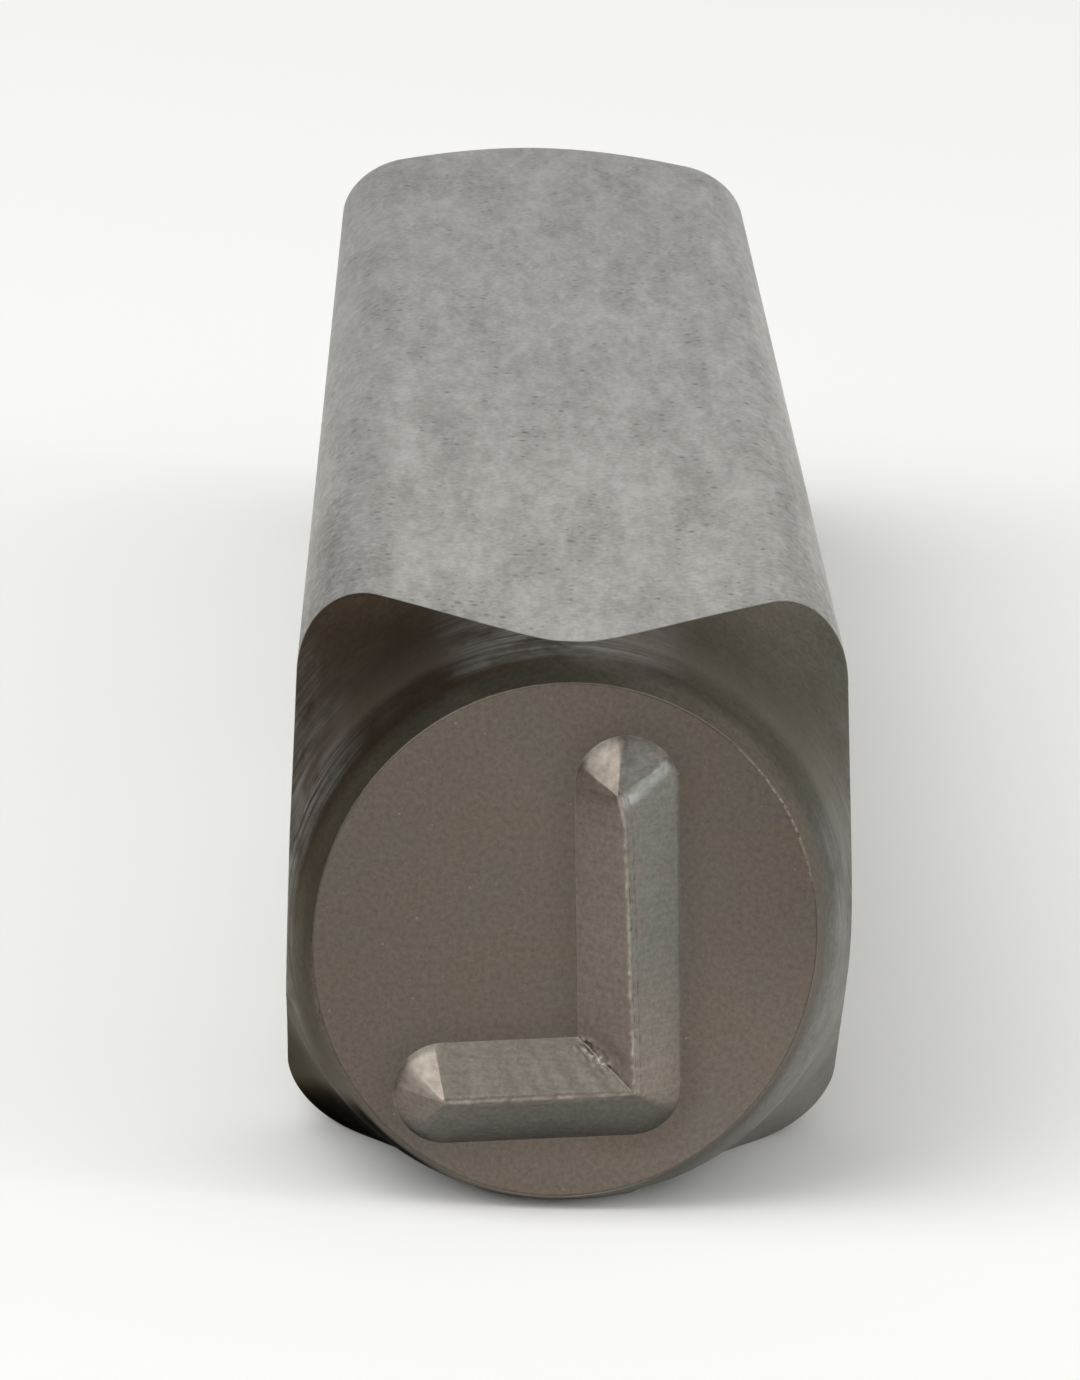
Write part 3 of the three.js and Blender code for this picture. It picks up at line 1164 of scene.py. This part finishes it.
# %% Shank
DRAWN_DARK = "#98968f"
DRAWN_LIGHT = "#c4c2bc"
CLOUD_WIDTH = 0.9 * MM
CLOUD_LENGTH = 7 * MM
MOTTLE_WIDTH = 0.24 * MM
MOTTLE_LENGTH = 1.1 * MM
MOTTLE_SHARE = 0.75
FLECK_WIDTH = 0.13 * MM
FLECK_LENGTH = 0.22 * MM
LINE_WIDTH = 0.04 * MM
LINE_LENGTH = 7 * MM
PIT_WIDTH = 0.26 * MM
PIT_LENGTH = 0.42 * MM
PIT_COLOUR = "#4d4b46"
PIT_SIZE_SHARE = 0.42
PIT_CLEAR = 0.9
EDGE_SKIN = "#55534e"
SKIN_SHARE = (0.16, 0.38)
SKIN_DEPTH = (22 * MM, 8 * MM)
EDGE_SKIN_SHARE = 0.8
LEFT_STRIP = (-3.3 * MM, -4.5 * MM)
# Painted light near the nose and painted shade toward the head.
NEAR_PAINTED_LIGHT = 1.17
HEAD_PAINTED_SHADE = 0.78
DRAWN_NOISES = [
    (CLOUD_WIDTH, CLOUD_LENGTH, 3, 0.5),
    (MOTTLE_WIDTH, MOTTLE_LENGTH, 5, 0.6),
    (FLECK_WIDTH, FLECK_LENGTH, 4, 0.65),
    (LINE_WIDTH, LINE_LENGTH, 2, 0.5),
]
DRAWN_ROUGHNESS = (0.5, 0.36)
DRAWN_RELIEF = (0.4, 0.002 * MM)


def old_skin(tree, where, fleck):
    """The share of old skin: on the rounded edges and the left side, most of all near the nose."""
    normal = add(tree, "SeparateXYZ", {0: add(tree, "NewGeometry").outputs["Normal"]})
    product = together(tree, normal.outputs["X"], normal.outputs["Z"])
    turned = add(tree, "Math", {0: product}, operation="ABSOLUTE")
    edge = add(tree, "MapRange", {
        "Value": turned, "From Min": 0.2, "From Max": 0.45, "To Max": EDGE_SKIN_SHARE,
    })
    left = add(tree, "MapRange", {
        "Value": where.outputs["X"], "From Min": LEFT_STRIP[0], "From Max": LEFT_STRIP[1],
    })
    kept = add(tree, "Math", {0: edge, 1: left}, operation="MAXIMUM")
    most = add(tree, "MapRange", {
        "Value": where.outputs["Y"],
        "From Min": ground_y + SKIN_DEPTH[0], "From Max": ground_y + SKIN_DEPTH[1],
        "To Min": SKIN_SHARE[0], "To Max": SKIN_SHARE[1],
    })
    spotty = add(tree, "MapRange", {
        "Value": fleck, "From Min": 0.35, "From Max": 0.65, "To Min": 1.3, "To Max": 0.7,
    })
    return together(tree, most, spotty, kept)


def drawn_shank():
    """Drawn flats: soft clouds, fine lines, dark pits, darker rounded edges, painted light and shade.
    """
    tree, shader, place = new_steel("drawn_tool_steel")
    patterns = []
    for width, length, detail, roughness in DRAWN_NOISES:
        stretched = add(tree, "VectorMath", {
            0: place, 1: per_size(width, length),
        }, operation="MULTIPLY")
        patterns.append(add(tree, "TexNoise", {
            "Vector": stretched, "Scale": 1, "Detail": detail, "Roughness": roughness,
        }))
    cloud, mottle, fleck, lines = patterns
    both = add(tree, "Math", {0: mottle, 1: MOTTLE_SHARE, 2: cloud}, operation="MULTIPLY_ADD")
    every = add(tree, "Math", {0: fleck, 1: both}, operation="ADD")
    shade = add(tree, "MapRange", {"Value": every, "From Min": 1.07, "From Max": 1.67})
    steel = add(tree, "Mix", {
        0: shade, MIX_A: linear(DRAWN_DARK), MIX_B: linear(DRAWN_LIGHT),
    }, data_type="RGBA")
    where = add(tree, "SeparateXYZ", {0: place})
    # Painted light near the nose, painted shade toward the head.
    level = add(tree, "MapRange", {
        "Value": where.outputs["Y"], "From Min": ground_y, "From Max": struck_y,
        "To Min": NEAR_PAINTED_LIGHT, "To Max": HEAD_PAINTED_SHADE,
    })
    cells = add(tree, "VectorMath", {
        0: place, 1: per_size(PIT_WIDTH, PIT_LENGTH),
    }, operation="MULTIPLY")
    gathered = add(tree, "MapRange", {
        "Value": cloud, "From Min": 0.62, "From Max": 0.44, "To Max": PIT_SIZE_SHARE,
    })
    pit = spots(tree, cells, 1, gathered, PIT_CLEAR)
    steel = add(tree, "VectorMath", {0: steel, 1: level}, operation="MULTIPLY")
    pitted = add(tree, "Mix", {0: pit, MIX_A: steel, MIX_B: linear(PIT_COLOUR)}, data_type="RGBA")
    skin = old_skin(tree, where, fleck)
    colour = add(tree, "Mix", {0: skin, MIX_A: pitted, MIX_B: linear(EDGE_SKIN)}, data_type="RGBA")
    tint = add(tree, "Mix", {
        0: skin, MIX_A: linear("#ffffff"), MIX_B: linear(EDGE_SKIN),
    }, data_type="RGBA")
    dress(tree, shader, colour, (mottle, *DRAWN_ROUGHNESS), (lines, *DRAWN_RELIEF), tint)


drawn_shank()

# %% [markdown]
# ## The taper: ground tool steel
# The taper of the head was ground to a cone, and the wheel left fine rings round it. The eye sees
# a brighter, cooler steel than on the shank, with a soft band of light that the rings spread, and
# small rust-brown freckles where fingers and damp have been.

# %% Taper
TAPER_DARK = "#8b8985"
TAPER_LIGHT = "#b0aeaa"
WHEEL_LENGTH = 5 * MM
WHEEL_WIDTH = 0.06 * MM
TAPER_ROUGHNESS = (0.44, 0.28)
WHEEL_RELIEF = (0.6, 0.004 * MM)
FRECKLE_SPACING = 0.9 * MM
FRECKLE_SHARE = 0.16
FRECKLE_CLEAR = 0.8
FRECKLE_COLOUR = "#6a594a"


def ground_taper():
    """Fine rings of a grinding wheel, with a few freckles."""
    tree, shader, place = new_steel("ground_tool_steel")
    head = middle + Vector((0, struck_y, 0))
    ring = ring_marks(tree, *about_axis(tree, place, head), WHEEL_LENGTH, WHEEL_WIDTH)
    rings = add(tree, "TexNoise", {"Vector": ring, "Scale": 1, "Detail": 4, "Roughness": 0.7})
    shade = add(tree, "MapRange", {"Value": rings, "From Min": 0.35, "From Max": 0.65})
    steel = add(tree, "Mix", {
        0: shade, MIX_A: linear(TAPER_DARK), MIX_B: linear(TAPER_LIGHT),
    }, data_type="RGBA")
    freckle = spots(tree, place, 1 / FRECKLE_SPACING, FRECKLE_SHARE, FRECKLE_CLEAR)
    colour = add(tree, "Mix", {
        0: freckle, MIX_A: steel, MIX_B: linear(FRECKLE_COLOUR),
    }, data_type="RGBA")
    dress(tree, shader, colour, (rings, *TAPER_ROUGHNESS), (rings, *WHEEL_RELIEF))


ground_taper()

# %% [markdown]
# ## The struck face: hammered tool steel
# Hammer blows have burnished the face where they fell and left dull skin between them. The dents
# are in the mesh, and the material adds the rest: brighter and smoother steel over most of the
# face, darker clouds where the hammer missed, and a fine pitting all over.

# %% Struck face
BLOW_COLOUR = "#a5a29c"
MISSED_COLOUR = "#8a8780"
BLOW_SIZE = 1.3 * MM
PITTING_GRAIN = 0.12 * MM
PITTING_SHADE = 0.15
STRUCK_ROUGHNESS = (0.55, 0.3)
PITTING_RELIEF = (0.5, 0.008 * MM)


def struck_steel():
    """Burnished blows on a duller, pitted face."""
    tree, shader, place = new_steel("hammered_tool_steel")
    blows = add(tree, "TexNoise", {
        "Vector": place, "Scale": 1 / BLOW_SIZE, "Detail": 3, "Roughness": 0.6,
    })
    pitting = add(tree, "TexNoise", {
        "Vector": place, "Scale": 1 / PITTING_GRAIN, "Detail": 5, "Roughness": 0.7,
    })
    struck = add(tree, "MapRange", {"Value": blows, "From Min": 0.3, "From Max": 0.66})
    steel = add(tree, "Mix", {
        0: struck, MIX_A: linear(MISSED_COLOUR), MIX_B: linear(BLOW_COLOUR),
    }, data_type="RGBA")
    colour = shaded(tree, steel, pitting, PITTING_SHADE)
    dress(tree, shader, colour, (struck, *STRUCK_ROUGHNESS), (pitting, *PITTING_RELIEF))


struck_steel()

# %% [markdown]
# ## The letter: coined tool steel
# The die's polished flanks left the letter smoother than the ground round it. Painted light and
# shade give each flank its colour by the way that it faces: the flanks that face up and down are
# darker and greyer than those that face sideways, and the right flank is lighter toward its low end.
# All carry faint lines where the die was dressed. Painted shade darkens the foot of the right flank
# and of the lowest one. Painted highlights brighten the facets at the ends of the strokes in
# patches, a band at the top of the stem and the torn lumps in the valley, and the ridge, which is
# the edge that meets the work, is rubbed bright. The mesh's wear and highlight value says where
# those are.

# %% Letter
# Painted light and shade: a colour for each way that a flank faces.
LETTER_LEFT = "#796f66"
LETTER_RIGHT = "#7b7871"
LETTER_RIGHT_LOW = "#887f75"
LETTER_UP_SHADED = "#66615a"
LETTER_DOWN_SHADED = "#6a6760"
# The bright colour of the worn ridge and of the painted highlights.
WORN_AND_HIGHLIGHT_WARM = "#a1968b"
WORN_AND_HIGHLIGHT_COOL = "#a2a3a0"
# Painted shade at the foot of the right flank and of the lowest one: its height and how dark.
RIGHT_ROOT_SHADE = (0.05 * MM, 0.6)
DOWN_ROOT_SHADE = (0.5 * MM, 0.8)
TURNED = 0.45
LETTER_CLOUD = 0.3 * MM
LETTER_GRAIN = 0.09 * MM
DRESS_WIDTH = 0.05 * MM
DRESS_LENGTH = 0.7 * MM
DRESS_SHADE = 0.07
LETTER_SHADE = 0.2
CLOUD_SHARE = 0.8
LETTER_ROUGHNESS = (0.44, 0.3)
LETTER_RELIEF = (0.3, 0.003 * MM)


def above_root_shade(tree, colour, place, reach, least):
    """A colour with painted shade at the foot of a flank, up to a height over the ground."""
    depth = add(tree, "SeparateXYZ", {0: place}).outputs["Y"]
    low = add(tree, "MapRange", {
        "Value": depth, "From Min": ground_y - reach, "From Max": ground_y,
    })
    return lifted(tree, colour, low, least)


def letter_flanks(tree, place):
    """Painted light and shade by the way each flank faces, and the colour of its bright parts."""
    facing = add(tree, "NewGeometry").outputs["Normal"]
    normal = add(tree, "SeparateXYZ", {0: facing})
    height = add(tree, "SeparateXYZ", {0: place}).outputs["Z"]
    low = add(tree, "MapRange", {
        "Value": height, "From Min": middle.z, "From Max": middle.z + LETTER_CORNER.z,
    }, interpolation_type="SMOOTHSTEP")
    right = add(tree, "Mix", {
        0: low, MIX_A: linear(LETTER_RIGHT), MIX_B: linear(LETTER_RIGHT_LOW),
    }, data_type="RGBA")
    # Painted shade at the foot of the flanks.
    right = above_root_shade(tree, right, place, *RIGHT_ROOT_SHADE)
    down = above_root_shade(tree, linear(LETTER_DOWN_SHADED)[:3], place, *DOWN_ROOT_SHADE)
    # Painted light and shade by the way that each flank faces.
    colour = linear(LETTER_LEFT)
    turns = [("X", TURNED, right), ("Z", TURNED, linear(LETTER_UP_SHADED)), ("Z", -TURNED, down)]
    for axis, most, flank in turns:
        share = add(tree, "MapRange", {
            "Value": normal.outputs[axis], "From Min": most / 3, "From Max": most,
        }, interpolation_type="SMOOTHSTEP")
        colour = add(tree, "Mix", {0: share, MIX_A: colour, MIX_B: flank}, data_type="RGBA")
    cool = add(tree, "MapRange", {
        "Value": normal.outputs["X"], "From Min": 0, "From Max": 0.2,
    })
    highlight_and_wear = add(tree, "Mix", {
        0: cool, MIX_A: linear(WORN_AND_HIGHLIGHT_WARM), MIX_B: linear(WORN_AND_HIGHLIGHT_COOL),
    }, data_type="RGBA")
    return colour, highlight_and_wear


def coined_letter():
    """Smooth flanks, faint clouds and dressing lines, painted highlights and a bright worn ridge."""
    tree, shader, place = new_steel("coined_tool_steel")
    cloud = add(tree, "TexNoise", {
        "Vector": place, "Scale": 1 / LETTER_CLOUD, "Detail": 5, "Roughness": 0.7,
    })
    grain = add(tree, "TexNoise", {
        "Vector": place, "Scale": 1 / LETTER_GRAIN, "Detail": 4, "Roughness": 0.7,
    })
    dressed = (1 / DRESS_LENGTH, 1 / DRESS_LENGTH, 1 / DRESS_WIDTH)
    stretched = add(tree, "VectorMath", {0: place, 1: dressed}, operation="MULTIPLY")
    lines = add(tree, "TexNoise", {"Vector": stretched, "Scale": 1, "Detail": 3})
    flanks, highlight_and_wear = letter_flanks(tree, place)
    flanks = shaded(tree, shaded(tree, flanks, lines, DRESS_SHADE), grain, LETTER_SHADE)
    # Wear of the ridge and painted highlights on the facets, the band and the torn lumps.
    wear_and_highlight = add(tree, "Attribute", attribute_name="wear_and_highlight").outputs["Fac"]
    uneven = add(tree, "Math", {0: cloud, 1: CLOUD_SHARE, 2: wear_and_highlight}, operation="MULTIPLY_ADD")
    worn = add(tree, "MapRange", {"Value": uneven, "From Min": 0.55, "From Max": 1.35})
    colour = add(tree, "Mix", {0: worn, MIX_A: flanks, MIX_B: highlight_and_wear}, data_type="RGBA")
    dress(tree, shader, colour, (cloud, *LETTER_ROUGHNESS), (lines, *LETTER_RELIEF))


coined_letter()

# %% [markdown]
# ## The floor
# The stamp lies on a plain pale sheet. Its colour is near white and the light is level, so it
# renders near white and keeps the stamp's soft shadow. The sheet gives way a hundredth of a
# millimetre under the stamp, so that the two don't share one plane.

# %% Floor
FLOOR_SIZE = 3
SHEET_GIVE = 0.01 * MM
SHEET_COLOUR = "#fafaf8"
SHEET_ROUGHNESS = 0.9
reach = FLOOR_SIZE / 2
floor_mesh = bpy.data.meshes.new("floor")
floor_corners = [(-reach, -reach, 0), (reach, -reach, 0), (reach, reach, 0), (-reach, reach, 0)]
floor_mesh.from_pydata(floor_corners, [], [(0, 1, 2, 3)])
floor = bpy.data.objects.new("floor", floor_mesh)
floor.location.z = cad_low.z + SHEET_GIVE
bpy.context.scene.collection.objects.link(floor)

sheet = bpy.data.materials.new("matt_paper_sheet")
sheet.use_nodes = True
shader = sheet.node_tree.nodes["Principled BSDF"]
feed(sheet.node_tree, shader, {
    "Base Color": linear(SHEET_COLOUR), "Roughness": SHEET_ROUGHNESS, "Specular IOR Level": 0,
})
floor_mesh.materials.append(sheet)
print("floor", FLOOR_SIZE, "m square")

# %% [markdown]
# ## The light tent
# The walls of the tent glow evenly all round. Its ceiling is bright toward the front and darker
# behind the stamp, and the top flat of the shank mirrors that darker part. A dark flag at the back
# left shapes the reflections in the nose.

# %% World
HORIZON = 1.0
CEILING_FRONT = 0.95
CEILING_BACK = 0.33
HORIZON_TOP = 0.2
CEILING_START = 0.5
BACK_START = 0.3
FLAG_WAY = (-0.75, 0.5, 0.43)
FLAG_SPREAD = 50
FLAG_DARKNESS = 0.5

world = bpy.data.worlds.new("tent")
bpy.context.scene.world = world
world.use_nodes = True
tree = world.node_tree
back = tree.nodes["Background"]
direction = add(tree, "TexCoord")
way = add(tree, "SeparateXYZ", {"Vector": direction.outputs["Generated"]})
ceiling = add(tree, "MapRange", {
    "Value": way.outputs["Y"], "From Min": -BACK_START, "From Max": BACK_START,
    "To Min": CEILING_FRONT, "To Max": CEILING_BACK,
}, interpolation_type="SMOOTHSTEP")
fade = add(tree, "MapRange", {
    "Value": way.outputs["Z"], "From Min": HORIZON_TOP, "From Max": CEILING_START,
}, interpolation_type="SMOOTHSTEP")
level = add(tree, "Mix", {0: fade, 2: HORIZON, 3: ceiling})
near_flag = add(tree, "VectorMath", {
    0: direction.outputs["Generated"], 1: FLAG_WAY,
}, operation="DOT_PRODUCT")
flag = add(tree, "MapRange", {
    "Value": near_flag, "From Min": math.cos(math.radians(FLAG_SPREAD)), "From Max": 1,
    "To Min": 1, "To Max": 1 - FLAG_DARKNESS,
}, interpolation_type="SMOOTHSTEP")
feed(tree, back, {"Color": linear("#ffffff"), "Strength": together(tree, level, flag)})
print("ceiling", CEILING_FRONT, "in front,", CEILING_BACK, "behind")

# %% [markdown]
# ## The lamps
# Two softboxes in the tent face the nose: a wide one at the upper left and a narrow one at the
# right. They are area lamps, so the shadows stay soft, and their power is set by the radiance
# that bright steel mirrors.

# %% Lamps
LAMP_DISTANCE = 0.6
LAMP_RADIANCE = 1.8


def softbox(name, way, size):
    """An area lamp that faces the nose and shows the lamps' radiance in a reflection."""
    data = bpy.data.lights.new(name, "AREA")
    data.shape = "RECTANGLE"
    data.size, data.size_y = size
    data.energy = LAMP_RADIANCE * math.pi * size[0] * size[1]
    lamp = bpy.data.objects.new(name, data)
    lamp.location = nose_point + Vector(way).normalized() * LAMP_DISTANCE
    lamp.rotation_euler = Vector(way).to_track_quat("Z", "Y").to_euler()
    lamp.visible_camera = False
    bpy.context.scene.collection.objects.link(lamp)
    print("softbox", name, size[0], "by", size[1], "m,", round(data.energy, 2), "W")


softbox("key", (-0.56, -0.32, 0.76), (0.66, 0.6))
softbox("side", (0.84, -0.27, 0.47), (0.1, 0.5))

bpy.context.scene.view_settings.view_transform = "Standard"
